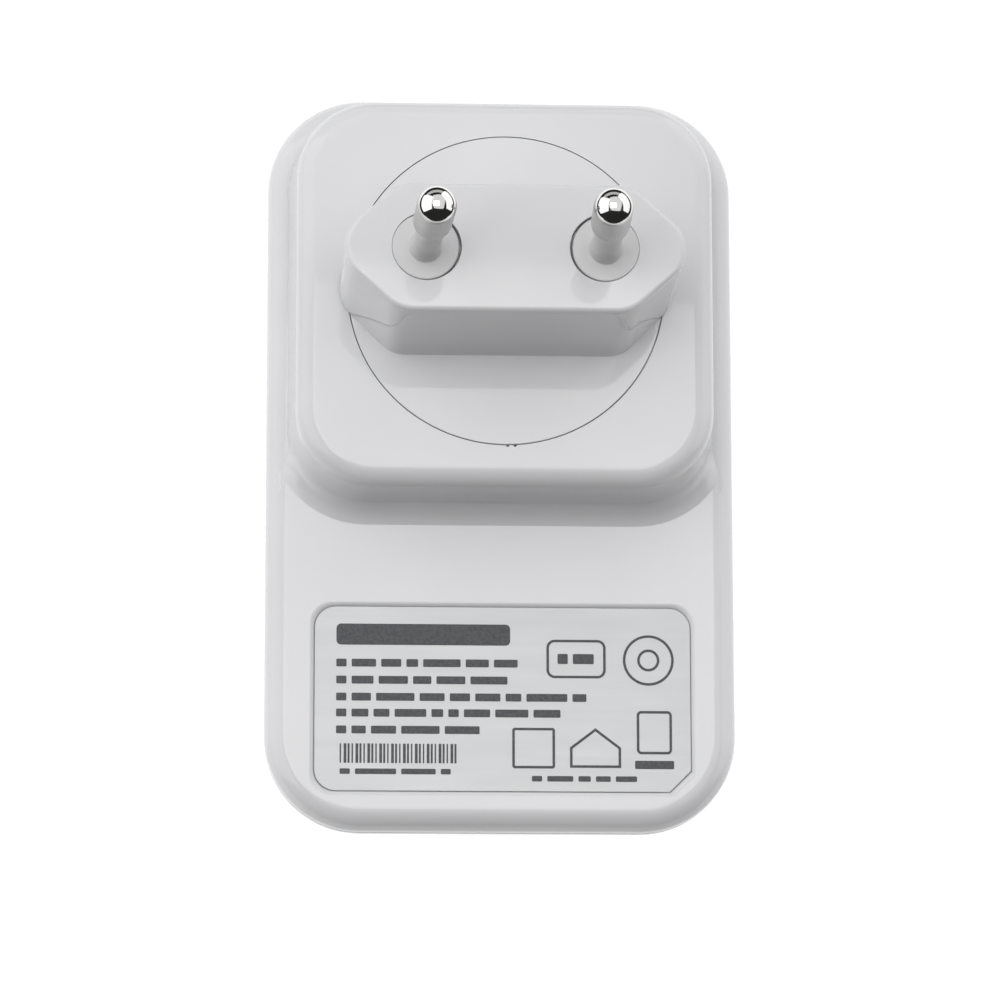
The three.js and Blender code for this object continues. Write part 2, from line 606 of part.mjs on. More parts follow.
const filterChoke = () =>
  standing([[0, 0], [3.4, 0], [3.4, 1], [2.9, 1.2], [2.9, 6], [3.4, 6.2], [3.4, 7.2], [0, 7.2]], -11.5, 31.2);

const thermalFuse = () => standing([[0, 0], [2.9, 0], [2.9, 6.6], [2.4, 7.2], [0, 7.2]], -16, 10.8);

// ---------------------------------------------------------------- assembly
const adapter = new THREE.Group();

function addPiece(name, solid, finish, parent = adapter) {
  const mesh = new THREE.Mesh(toGeometry(solid), finish);
  mesh.name = name;
  parent.add(mesh);
  return mesh;
}

const SIDES = [["left", -1], ["right", 1]];

addPiece("front_housing", frontHousing(), WHITE_PLASTIC);
addPiece("rear_housing", rearHousing(), WHITE_PLASTIC);
addPiece("rating_label", ratingLabel(), LABEL_SILVER);
addPiece("plug_insert", plugInsert(), WHITE_PLASTIC);

for (const [name, side] of SIDES) {
  const pinGroup = new THREE.Group();
  pinGroup.position.set((side * PIN_SPACING) / 2, PLUG_Y, BLOCK_Z);
  pinGroup.rotation.y = -side * Math.atan(PIN_LEAN);
  adapter.add(pinGroup);
  addPiece(`mains_pin_${name}`, mainsPin(), NICKEL, pinGroup);
  addPiece(`pin_sleeve_${name}`, pinSleeve(), WHITE_PLASTIC, pinGroup);

  const contact = addPiece(`pin_contact_${name}`, pinContact(), GOLD);
  contact.position.set(side * 7.9, PLUG_Y, 0);
  contact.rotation.z = side > 0 ? 0 : Math.PI;

  const screw = addPiece(`insert_screw_${name}`, insertScrew(), STEEL);
  screw.position.set(side * INSERT_SCREW_X, PLUG_Y, SEAT_Z - 1.6 - TOUCH_GAP - 1.4);

  addPiece(`board_screw_${name}`, boardScrew(side * 17, 8), STEEL);
  addPiece(`board_spacer_${name}`, boardSpacer(side * 16.4, 29), WHITE_PLASTIC);
}

addPiece("main_board", mainBoard(), GREEN_BOARD);
addPiece("power_board", powerBoard(), GREEN_BOARD);
addPiece("board_header", boardHeader(), BLACK_PLASTIC);

addPiece("ethernet_jack", ethernetJack(), BLACK_PLASTIC);
for (let i = 0; i < 8; i++) addPiece(`ethernet_contact_${i + 1}`, ethernetContact(i), GOLD);

addPiece("pair_button", pairButton(), WHITE_PLASTIC);
addPiece("pair_switch", switchBody(PAIR_BUTTON.y), BLACK_PLASTIC);
addPiece("pair_switch_plunger", switchPlunger(PAIR_BUTTON.y, 1.6), BLACK_PLASTIC);
addPiece("reset_switch", switchBody(RESET_Y), BLACK_PLASTIC);
addPiece("reset_plunger", switchPlunger(RESET_Y, 2.4), BLACK_PLASTIC);

["power", "powerline", "ethernet"].forEach((name, i) => {
  addPiece(`light_pipe_${name}`, lightPipe((i - 1) * LIGHT_SPACING), CLEAR);
  addPiece(`led_${name}`, led((i - 1) * LIGHT_SPACING), YELLOW_FILM);
});

addPiece("powerline_processor", blockAt(-6, 3, MAIN_TOP, 14, 14, 1.4), BLACK_PLASTIC);
addPiece("memory_chip", blockAt(9, 14, MAIN_TOP, 6, 10.2, 1.2), BLACK_PLASTIC);
addPiece("ethernet_transformer", blockAt(0, -15, MAIN_TOP, 12.7, 7, 3.6), BLACK_PLASTIC);
addPiece("clock_crystal", plate(roundedRect(4, 15, -6, -1.5, 2.2, 4), MAIN_TOP, MAIN_TOP + 3.4), STEEL);

addPiece("transformer_core", transformerCore(), FERRITE);
addPiece("transformer_coil", transformerCoil(), COPPER);
addPiece("bulk_capacitor_1", lyingCapacitor(3.2, -3, 4, 11), CAPACITOR_SLEEVE);
addPiece("bulk_capacitor_2", lyingCapacitor(12, -3, 4, 11), CAPACITOR_SLEEVE);
addPiece("output_capacitor", lyingCapacitor(14.6, 18.9, 3.1, 9.4), CAPACITOR_SLEEVE);
addPiece("line_filter_capacitor", blockAt(0, 32, POWER_TOP, 13, 5, 8), YELLOW_FILM);
addPiece("coupling_capacitor", blockAt(12.6, 31.2, POWER_TOP, 9, 4, 7.4), YELLOW_FILM);
addPiece("coupling_transformer", ring(2, 4.3, POWER_TOP, POWER_TOP + 4.6, -14.2, 23.1, 24), FERRITE);
addPiece("filter_choke", filterChoke(), FERRITE);
addPiece("thermal_fuse", thermalFuse(), BLACK_PLASTIC);
addPiece("surge_varistor", surgeVaristor(), BLUE_EPOXY);
addPiece("bridge_rectifier", blockAt(-14, -10, POWER_TOP, 4.7, 4, 2.4), BLACK_PLASTIC);
addPiece("power_controller", blockAt(-4, -11, POWER_TOP, 5, 6, 1.6), BLACK_PLASTIC);
addPiece("optocoupler", blockAt(6, -11, POWER_TOP, 6.5, 4.6, 3), BLACK_PLASTIC);

export default adapter;
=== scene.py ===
"""Looks of the powerline adapter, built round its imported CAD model.

Blender works in metres in the CAD frame: z = 0 is the adapter's front face, the pins point up,
+Y is the plug end and -Y the network socket end. Shapes are worked out in millimetres and scaled
by MM.
"""

import json
import math

import bmesh
import bpy
from mathutils import Matrix, Vector
from mathutils.bvhtree import BVHTree


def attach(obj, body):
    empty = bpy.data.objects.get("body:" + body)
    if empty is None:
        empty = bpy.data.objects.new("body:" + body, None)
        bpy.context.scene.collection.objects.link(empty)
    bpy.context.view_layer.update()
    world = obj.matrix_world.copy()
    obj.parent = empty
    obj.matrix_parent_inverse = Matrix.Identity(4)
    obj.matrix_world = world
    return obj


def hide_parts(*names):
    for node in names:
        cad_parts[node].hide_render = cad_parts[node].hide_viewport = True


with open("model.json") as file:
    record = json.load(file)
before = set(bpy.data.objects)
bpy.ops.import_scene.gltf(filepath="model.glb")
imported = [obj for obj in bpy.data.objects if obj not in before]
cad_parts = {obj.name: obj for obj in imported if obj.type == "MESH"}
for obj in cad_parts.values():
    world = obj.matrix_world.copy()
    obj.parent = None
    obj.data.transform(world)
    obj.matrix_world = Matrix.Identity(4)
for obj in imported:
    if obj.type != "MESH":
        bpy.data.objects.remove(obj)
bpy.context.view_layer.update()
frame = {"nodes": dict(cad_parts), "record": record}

MM = 0.001
SHARP_ANGLE = 32

# ------------------------------------------------------------------ sizes, in millimetres
BODY_HALF_WIDTH = 25.4
BODY_HALF_LENGTH = 40.4
BODY_CORNER = 10.3
WALL = 2.0
PARTING_Z = 15.6
PARTING_GAP = 0.2
FRONT_LIP = 1.0
FRONT_DRAFT = 0.255
FRONT_EDGE = 3.0
FRONT_EDGE_RUN = 3.6
REAR_Z = 19.0
REAR_EDGE = 2.5
PLATFORM_Z = 30.0
PLATFORM_HALF_WIDTH = 20.1
PLATFORM_TOP = 35.0
PLATFORM_BOTTOM = -2.83
PLATFORM_CORNER = 6.25
PLATFORM_EDGE = 2.25
SIDE_DRAFT = 0.09
NEAR_DRAFT = 0.05
CORNER_STEPS = 18
COVE_DEPTH = 8.4
COVE_RADIUS = 3.4
COVE_STEEP = 8
COVE_FLAT = 62
FADE_START = 0.1
FADE_LENGTH = 0.3
HOLLOW_FOOT = 8.5
PLUG_Y = 16.15
DISC_RADIUS = 16.72
DISC_GAP = 0.22
DISC_EDGE = DISC_RADIUS + 0.13
DISC_THICKNESS = 2.1
NICKS_X = (0.15, 0.95)
SEAT_Z = PLATFORM_Z - DISC_THICKNESS - 0.3
BLOCK_HEIGHT = 18.9
BLOCK_Z = PLATFORM_Z + BLOCK_HEIGHT
BLOCK_EDGE = 0.6
GROOVE_RADIUS = 0.07
GROOVE_FADE = 14
GROOVE_SIDES = 6
PIN_HALF_SPACING = 9.3
PIN_LEAN = math.atan(0.55 / 19)
PIN_RADIUS = 2.0
PIN_SHANK = 0.95
PIN_LENGTH = 18.5
PIN_TAIL = 27.4
TIP_START_Z = BLOCK_Z + PIN_LENGTH - PIN_RADIUS
SLEEVE_LENGTH = 10.0
SLEEVE_RADIUS = 1.5
WELL_RADIUS = 3.6
WELL_OFFSET = 9.18
WELL_DEPTH = 2.05
WELL_LIP = 0.06
FLANGE_RADIUS = 3.47
FLANGE_TOP = -0.1
FLANGE_BOTTOM = -1.75
LABEL_X = 0.2
LABEL_Y = -26.32
LABEL_HALF_WIDTH = 20.25
LABEL_HALF_LENGTH = 10.0
LABEL_CORNER = 2.3
LABEL_RECESS = 0.6
LABEL_TOP = REAR_Z - 0.2
DASH_GAP = 0.55
BUTTON_Y = -15.0
BUTTON_Z = 8.9
RESET_Y = -27.0
LIGHT_Y = 24.0
LIGHT_SPACING = 7.0
JACK_HALF_WIDTH = 8.0
JACK_FRONT = -37.1
JACK_BACK = -20.1
JACK_BOTTOM = 2.4
JACK_TOP = 14.1
PORT_BACK = -23.5
LATCH_BACK = -28.5
CONTACT_PITCH = 1.016
SCREW_POSTS = ((-17.0, 8.0), (17.0, 8.0))


# ------------------------------------------------------------------ mesh helpers
def rounded_rect(x0, x1, y0, y1, radius, segments=CORNER_STEPS):
    """Points of a rounded rectangle, anticlockwise from the lower right corner."""
    corners = (
        (x1 - radius, y0 + radius, -90),
        (x1 - radius, y1 - radius, 0),
        (x0 + radius, y1 - radius, 90),
        (x0 + radius, y0 + radius, 180),
    )
    points = []
    for cx, cy, start in corners:
        for i in range(segments + 1):
            angle = math.radians(start + 90 * i / segments)
            points.append((cx + radius * math.cos(angle), cy + radius * math.sin(angle)))
    return points


def quarter(steps):
    """Angles from 0 to 90 degrees, in radians."""
    return [math.radians(90 * i / steps) for i in range(steps + 1)]


def rounded_edge(radius, top, rounding, steps):
    """Profile points of a turned piece's upper outer edge, a quarter round."""
    return [(radius - rounding * (1 - math.cos(a)), top - rounding * (1 - math.sin(a)))
            for a in quarter(steps)]


def add_rings(bm, rings, closed=False):
    """Joins rings of equally many points by quads, and caps both ends unless closed."""
    rows = [[bm.verts.new(point) for point in ring] for ring in rings]
    pairs = list(zip(rows, rows[1:]))
    if closed:
        pairs.append((rows[-1], rows[0]))
    for low, high in pairs:
        for i in range(len(low)):
            j = (i + 1) % len(low)
            bm.faces.new((low[i], low[j], high[j], high[i]))
    if not closed:
        bm.faces.new(list(reversed(rows[0])))
        bm.faces.new(rows[-1])


def loft(rings, closed=False):
    """A solid through rings of points."""
    bm = bmesh.new()
    add_rings(bm, rings, closed)
    bmesh.ops.recalc_face_normals(bm, faces=bm.faces)
    return bm


def level(points, z):
    return [(x, y, z) for x, y in points]


def lathe(profile, segments=96):
    """A solid turned about Z from a profile of (radius, z). A radius of 0 closes it to a point."""
    bm = bmesh.new()
    rows = []
    for radius, z in profile:
        if radius == 0:
            rows.append([bm.verts.new((0, 0, z))])
            continue
        ring = []
        for i in range(segments):
            angle = 2 * math.pi * i / segments
            ring.append(bm.verts.new((radius * math.cos(angle), radius * math.sin(angle), z)))
        rows.append(ring)
    hollow = len(rows[0]) > 1
    pairs = list(zip(rows, rows[1:])) + ([(rows[-1], rows[0])] if hollow else [])
    for low, high in pairs:
        for i in range(segments):
            j = (i + 1) % segments
            if len(low) == 1:
                bm.faces.new((low[0], high[j], high[i]))
            elif len(high) == 1:
                bm.faces.new((low[i], low[j], high[0]))
            else:
                bm.faces.new((low[i], low[j], high[j], high[i]))
    bmesh.ops.recalc_face_normals(bm, faces=bm.faces)
    return bm


def box(x0, x1, y0, y1, z0, z1):
    corners = [(x0, y0), (x1, y0), (x1, y1), (x0, y1)]
    return loft([level(corners, z0), level(corners, z1)])


def moved(bm, matrix):
    bm.transform(matrix)
    return bm


def shifted(bm, x=0.0, y=0.0, z=0.0):
    return moved(bm, Matrix.Translation((x, y, z)))


def as_object(name, bm):
    mesh = bpy.data.meshes.new(name)
    bm.to_mesh(mesh)
    bm.free()
    piece = bpy.data.objects.new(name, mesh)
    bpy.context.scene.collection.objects.link(piece)
    return piece


def combine(bm, others, operation):
    """Adds (UNION) or cuts away (DIFFERENCE) other solids, one after the other."""
    piece = as_object("work", bm)
    helpers = []
    for other in others:
        helper = as_object("helper", other)
        helpers.append(helper)
        modifier = piece.modifiers.new("join", "BOOLEAN")
        modifier.operation = operation
        modifier.solver = "EXACT"
        modifier.object = helper
    evaluated = piece.evaluated_get(bpy.context.evaluated_depsgraph_get())
    result = bmesh.new()
    result.from_mesh(evaluated.to_mesh())
    for obj in [piece, *helpers]:
        bpy.data.meshes.remove(obj.data)
    return result


def finished(name, bm, material, body, nodes=()):
    """Turns a solid in millimetres into a smooth-shaded piece that rides on a body."""
    bmesh.ops.remove_doubles(bm, verts=bm.verts, dist=0.0005)
    bm.transform(Matrix.Scale(MM, 4))
    piece = as_object(name, bm)
    piece.data.materials.append(material)
    piece.data.shade_smooth()
    piece.data.set_sharp_from_angle(angle=math.radians(SHARP_ANGLE))
    normals = piece.modifiers.new("normals", "WEIGHTED_NORMAL")
    normals.keep_sharp = True
    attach(piece, body)
    if nodes:
        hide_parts(*nodes)
    return piece


# ------------------------------------------------------------------ materials
class Nodes:
    """Builds a material's node tree. Textures read object coordinates, which are metres here."""

    def __init__(self, name):
        self.material = bpy.data.materials.new(name)
        self.material.use_nodes = True
        self.tree = self.material.node_tree
        self.shader = next(n for n in self.tree.nodes if n.type == "BSDF_PRINCIPLED")
        self.coordinates = self.tree.nodes.new("ShaderNodeTexCoord").outputs["Object"]
        self.bumps = None

    def link(self, source, target):
        self.tree.links.new(source, target)

    def mapped(self, stretch):
        node = self.tree.nodes.new("ShaderNodeMapping")
        node.inputs["Scale"].default_value = stretch
        self.link(self.coordinates, node.inputs["Vector"])
        return node.outputs["Vector"]

    def noise(self, size_mm, detail=3.0, stretch=(1, 1, 1)):
        node = self.tree.nodes.new("ShaderNodeTexNoise")
        node.inputs["Scale"].default_value = 1 / (size_mm * MM)
        node.inputs["Detail"].default_value = detail
        self.link(self.mapped(stretch), node.inputs["Vector"])
        return node.outputs["Fac"]

    def waves(self, pitch_mm, direction="Z", distortion=0.0):
        node = self.tree.nodes.new("ShaderNodeTexWave")
        node.wave_type = "BANDS"
        node.bands_direction = direction
        # A wave texture repeats every 2*pi/20 units at scale 1.
        node.inputs["Scale"].default_value = math.pi / (10 * pitch_mm * MM)
        node.inputs["Distortion"].default_value = distortion
        self.link(self.coordinates, node.inputs["Vector"])
        return node.outputs["Fac"]

    def cells(self, size_mm, feature="F1"):
        node = self.tree.nodes.new("ShaderNodeTexVoronoi")
        node.feature = feature
        node.inputs["Scale"].default_value = 1 / (size_mm * MM)
        self.link(self.coordinates, node.inputs["Vector"])
        return node.outputs["Distance"]

    def ranged(self, source, low, high, start=0.3, end=0.7):
        node = self.tree.nodes.new("ShaderNodeMapRange")
        node.inputs["From Min"].default_value = start
        node.inputs["From Max"].default_value = end
        node.inputs["To Min"].default_value = low
        node.inputs["To Max"].default_value = high
        self.link(source, node.inputs["Value"])
        return node.outputs["Result"]

    def blended(self, factor, first, second):
        """A colour between two colours, each a tuple or another colour output."""
        node = self.tree.nodes.new("ShaderNodeMix")
        node.data_type = "RGBA"
        self.link(factor, node.inputs["Factor"])
        for socket, value in ((node.inputs[6], first), (node.inputs[7], second)):
            if isinstance(value, tuple):
                socket.default_value = (*value, 1)
            else:
                self.link(value, socket)
        return node.outputs[2]

    def colour(self, source):
        self.link(source, self.shader.inputs["Base Color"])

    def rough(self, source, low, high):
        self.link(self.ranged(source, low, high), self.shader.inputs["Roughness"])

    def bump(self, source, height_mm):
        node = self.tree.nodes.new("ShaderNodeBump")
        node.inputs["Distance"].default_value = height_mm * MM
        self.link(source, node.inputs["Height"])
        if self.bumps is not None:
            self.link(self.bumps, node.inputs["Normal"])
        self.bumps = node.outputs["Normal"]
        self.link(self.bumps, self.shader.inputs["Normal"])

    def set(self, **values):
        for name, value in values.items():
            self.shader.inputs[name.replace("_", " ")].default_value = value


def white_plastic():
    """Glossy white ABS, with the faint waviness that moulding leaves."""
    m = Nodes("white_plastic")
    m.set(IOR=1.5)
    m.colour(m.blended(m.ranged(m.noise(14), 0, 1), (0.725, 0.724, 0.738), (0.752, 0.75, 0.764)))
    m.rough(m.noise(6, detail=5), 0.03, 0.06)
    m.bump(m.noise(5, detail=1), 0.004)
    m.bump(m.noise(0.25, detail=2), 0.0002)
    return m.material


def sleeve_plastic():
    """The pins' insulation: a softer white plastic, less glossy and a little greyer, the grey partly
    painted shade for the occlusion round the pin and in its well.
    """
    m = Nodes("sleeve_plastic")
    m.set(IOR=1.5)
    # Greyer than the housing's white: partly the plastic's own tone, partly painted shade round the pins
    # and in the wells.
    m.colour(m.blended(m.ranged(m.noise(2.5), 0, 1), (0.645, 0.645, 0.645), (0.675, 0.675, 0.675)))
    m.rough(m.noise(1.2, detail=4), 0.3, 0.4)
    m.bump(m.noise(0.4, detail=2), 0.0003)
    return m.material


def nickel():
    """Nickel plate: polished on the rounded tip, drawn and rougher along the shank, whose darker tone is
    partly painted shade.
    """
    m = Nodes("nickel")
    m.set(Metallic=1.0)
    height = m.tree.nodes.new("ShaderNodeSeparateXYZ")
    m.link(m.coordinates, height.inputs[0])
    tip = m.ranged(height.outputs["Z"], 0, 1, (TIP_START_Z + 0.5) * MM, (TIP_START_Z + 0.95) * MM)
    # The shank's tone, about half the tip's, is partly painted shade on the same nickel plate.
    shank_tone_with_painted_shade = m.blended(m.ranged(m.noise(3), 0, 1), (0.40, 0.395, 0.39), (0.46, 0.455, 0.45))
    tip_tone = m.blended(m.ranged(m.noise(3), 0, 1), (0.82, 0.81, 0.80), (0.88, 0.875, 0.865))
    m.colour(m.blended(tip, shank_tone_with_painted_shade, tip_tone))
    spread = m.ranged(m.noise(0.6, detail=5, stretch=(1, 1, 6)), 0.28, 0.38)
    gloss = m.tree.nodes.new("ShaderNodeMix")
    m.link(tip, gloss.inputs["Factor"])
    m.link(spread, gloss.inputs[2])
    m.link(m.ranged(m.noise(0.8, detail=5), 0.06, 0.12), gloss.inputs[3])
    m.link(gloss.outputs[0], m.shader.inputs["Roughness"])
    m.bump(m.waves(0.12, distortion=0.4), 0.0002)
    m.bump(m.noise(0.15, detail=4, stretch=(1, 1, 0.1)), 0.0004)
    return m.material


def steel():
    m = Nodes("steel")
    m.set(Metallic=1.0)
    m.colour(m.blended(m.ranged(m.noise(1.2), 0, 1), (0.46, 0.47, 0.48), (0.58, 0.58, 0.58)))
    m.rough(m.noise(0.5, detail=5), 0.25, 0.42)
    m.bump(m.noise(0.2, detail=4), 0.003)
    return m.material


def contact_gold():
    m = Nodes("contact_gold")
    m.set(Metallic=1.0)
    m.colour(m.blended(m.ranged(m.noise(0.8), 0, 1), (0.80, 0.56, 0.20), (0.92, 0.70, 0.32)))
    m.rough(m.noise(0.4, detail=4, stretch=(6, 1, 1)), 0.16, 0.3)
    m.bump(m.noise(0.1, detail=3, stretch=(8, 1, 1)), 0.001)
    return m.material


def grained_plastic(name, low, high, roughness, grain_mm, grain_height_mm):
    """Moulded plastic with an even eroded grain."""
    m = Nodes(name)
    m.colour(m.blended(m.ranged(m.noise(2, detail=4), 0, 1), low, high))
    m.rough(m.noise(0.8, detail=4), roughness - 0.07, roughness + 0.07)
    m.bump(m.cells(grain_mm, "SMOOTH_F1"), grain_height_mm)
    return m.material


def label_foil():
    """Silver-grey polyester label: a satin sheet with a fine, faint grain along its length."""
    m = Nodes("label_foil")
    m.set(Metallic=0.25, IOR=1.45)
    grain = m.noise(0.5, detail=4, stretch=(0.05, 1, 1))
    m.colour(m.blended(m.ranged(grain, 0, 1), (0.592, 0.597, 0.602), (0.608, 0.613, 0.618)))
    m.rough(m.noise(0.8, detail=4, stretch=(0.1, 1, 1)), 0.38, 0.44)
    m.bump(grain, 0.00005)
    m.bump(m.noise(9, detail=1), 0.01)
    return m.material


def label_ink():
    """Thermal print: dark grey, a little uneven, with pinholes."""
    m = Nodes("label_ink")
    blotches = m.ranged(m.noise(0.3, detail=5), 0, 1)
    m.colour(m.blended(blotches, (0.052, 0.054, 0.06), (0.085, 0.088, 0.095)))
    m.rough(m.noise(0.4, detail=4), 0.42, 0.6)
    m.bump(m.noise(0.08, detail=3), 0.002)
    return m.material


def circuit_board():
    """Green solder mask over copper tracks, with the weave of the glass cloth showing faintly."""
    m = Nodes("circuit_board")
    m.set(IOR=1.5)
    tracks = m.ranged(m.cells(3.2, "DISTANCE_TO_EDGE"), 1, 0, 0.04, 0.07)
    weave = m.waves(0.6, "X", distortion=0.6)
    mask = m.blended(weave, (0.010, 0.085, 0.035), (0.014, 0.105, 0.045))
    m.colour(m.blended(tracks, mask, (0.035, 0.19, 0.075)))
    m.rough(m.noise(1.5, detail=4), 0.22, 0.4)
    m.bump(tracks, 0.035)
    m.bump(weave, 0.004)
    return m.material


def clear_plastic():
    """Light pipe: translucent acrylic, slightly frosted."""
    m = Nodes("clear_plastic")
    m.set(IOR=1.49, Transmission_Weight=0.7)
    m.colour(m.blended(m.ranged(m.noise(0.8), 0, 1), (0.80, 0.85, 0.87), (0.88, 0.91, 0.92)))
    m.rough(m.noise(0.4, detail=4), 0.14, 0.3)
    m.bump(m.noise(0.15, detail=3), 0.002)
    return m.material


def led():
    """Surface-mount LED: a white body whose phosphor shows as a yellow window."""
    m = Nodes("led")
    m.colour(m.blended(m.ranged(m.cells(0.9), 0, 1), (0.78, 0.62, 0.14), (0.82, 0.80, 0.72)))
    m.rough(m.noise(0.3, detail=3), 0.3, 0.5)
    m.bump(m.noise(0.1, detail=3), 0.003)
    return m.material


def copper_winding():
    """Varnished copper wire under the tape, laid turn beside turn."""
    m = Nodes("copper_winding")
    m.set(Metallic=0.8)
    turns = m.waves(0.35, "Y", distortion=0.15)
    m.colour(m.blended(turns, (0.20, 0.062, 0.020), (0.62, 0.26, 0.10)))
    m.rough(m.noise(0.6, detail=4), 0.22, 0.4)
    m.bump(turns, 0.08)
    return m.material


def shrink_sleeve():
    """Dark PVC sleeve of an electrolytic capacitor, with its lighter stripe bands."""
    m = Nodes("capacitor_sleeve")
    bands = m.ranged(m.waves(7.5, "X"), 0, 1, 0.86, 0.9)
    m.colour(m.blended(bands, (0.012, 0.016, 0.03), (0.28, 0.30, 0.32)))
    m.rough(m.noise(1.2, detail=4), 0.2, 0.34)
    m.bump(m.noise(2.2, detail=2), 0.02)
    return m.material


MATERIALS = {
    "white_plastic": white_plastic(),
    "label": label_foil(),
    "nickel": nickel(),
    "steel": steel(),
    "contact_gold": contact_gold(),
    "black_plastic": grained_plastic(
        "black_plastic", (0.012, 0.012, 0.013), (0.022, 0.022, 0.024), 0.42, 0.2, 0.006),
    "circuit_board": circuit_board(),
    "clear_plastic": clear_plastic(),
    "led": led(),
    "ferrite": grained_plastic(
        "ferrite", (0.028, 0.028, 0.031), (0.055, 0.054, 0.058), 0.62, 0.12, 0.012),
    "copper_winding": copper_winding(),
    "yellow_film": grained_plastic(
        "yellow_film", (0.66, 0.42, 0.03), (0.78, 0.53, 0.06), 0.3, 1.4, 0.03),
    "capacitor_sleeve": shrink_sleeve(),
    "blue_epoxy": grained_plastic(
        "blue_epoxy", (0.02, 0.07, 0.26), (0.035, 0.11, 0.36), 0.24, 1.1, 0.03),
}
SLEEVE_PLASTIC = sleeve_plastic()
LABEL_INK = label_ink()
WHITE = MATERIALS["white_plastic"]


def finish_cad_nodes():
    """Gives every carried-over CAD node the detailed material of its slot."""
    for subpart in frame["record"]["subparts"]:
        slots = frame["nodes"][subpart["node"]].data.materials
        slots.clear()
        slots.append(MATERIALS[subpart["material_slot"]])


# ------------------------------------------------------------------ housings
def body_ring(z, inset):
    width, length = BODY_HALF_WIDTH - inset, BODY_HALF_LENGTH - inset
    return level(rounded_rect(-width, width, -length, length, BODY_CORNER - inset), z)


def wall_run(depth, draft):
    """How far the wall stands out at a depth below the platform's top: a quarter round, then a draft."""
    if depth >= PLATFORM_EDGE:
        return PLATFORM_EDGE + (depth - PLATFORM_EDGE) * draft
    return math.sqrt(PLATFORM_EDGE**2 - (PLATFORM_EDGE - depth) ** 2)


def platform_ring(depth, inset=0.0, run=0.0):
    """The platform's outline at a depth. A run spreads it on the label side, fading at the corners."""
    side = wall_run(depth, SIDE_DRAFT) - inset
    near = wall_run(depth, NEAR_DRAFT) - inset
    half_width = PLATFORM_HALF_WIDTH + side
    corner = PLATFORM_CORNER + min(side, PLATFORM_EDGE)
    low, high = PLATFORM_BOTTOM - near, PLATFORM_TOP + side
    outline = rounded_rect(-half_width, half_width, low, high, corner, CORNER_STEPS)
    points = []
    for i, (x, y) in enumerate(outline):
        corner_index, step = divmod(i, CORNER_STEPS + 1)
        turn = step / CORNER_STEPS
        angle = math.radians(90 * (turn - 1) if corner_index == 0 else 90 * (turn + 2))
        reach = {0: 1 - turn, 3: turn}.get(corner_index, 0.0)
        fade = min(1.0, max(0.0, (reach - FADE_START) / FADE_LENGTH))
        share = run * fade * fade * (3 - 2 * fade)
        points.append((x + share * math.cos(angle), y + share * math.sin(angle)))
    return level(points, PLATFORM_Z - depth)


def cove_rings():
    """The platform's foot on the label side: a hollow curve that softens into the rear face."""
    steep, flat = math.radians(COVE_STEEP), math.radians(COVE_FLAT)
    steps = 8
    rings = []
    for i in range(steps + 1):
        turn = steep + (flat - steep) * i / steps
        depth = COVE_DEPTH + COVE_RADIUS * (math.sin(turn) - math.sin(steep))
        run = COVE_RADIUS * (math.cos(steep) - math.cos(turn))
        rings.append(platform_ring(depth, run=run))
    # A short outward curve takes the slope from 28 degrees to 4, where it dips under the rear face.
    stride = 0.13
    for degrees in (25, 21, 17, 13, 9, 5, 4, 4):
        run += stride
        depth += stride * math.tan(math.radians(degrees))
        rings.append(platform_ring(depth, run=run))
    rings.append(platform_ring(PLATFORM_Z - REAR_Z + 0.9, run=run + 0.3))
    return rings


def body_band(z0, z1, outer, inner):
    """A wall that follows the body's outline between two insets."""
    corners = ((z0, outer), (z1, outer), (z1, inner), (z0, inner))
    return loft([body_ring(z, inset) for z, inset in corners], True)


def label_ring(grow, z):
    """The label's outline, whose lower right corner is cut off straight."""
    half_width, half_length = LABEL_HALF_WIDTH + grow, LABEL_HALF_LENGTH + grow
    left, right = LABEL_X - half_width, LABEL_X + half_width
    outline = rounded_rect(left, right, LABEL_Y - half_length, LABEL_Y + half_length, LABEL_CORNER)
    start, end = Vector(outline[0]), Vector(outline[CORNER_STEPS])
    straight = [tuple(start.lerp(end, i / CORNER_STEPS)) for i in range(CORNER_STEPS + 1)]
    return level(straight + outline[CORNER_STEPS + 1:], z)


def rim_cutter(ring_at, bottom, top, rounding):
    """A cutter whose upper edge flares out in a quarter round, which leaves a rounded rim."""
    rings = [ring_at(0, bottom)]
    for angle in quarter(5):
        z = top - rounding * (1 - math.sin(angle))
        rings.append(ring_at(rounding * (1 - math.cos(angle)), z))
    rings.append(ring_at(rounding, top + 2))
    return loft(rings)


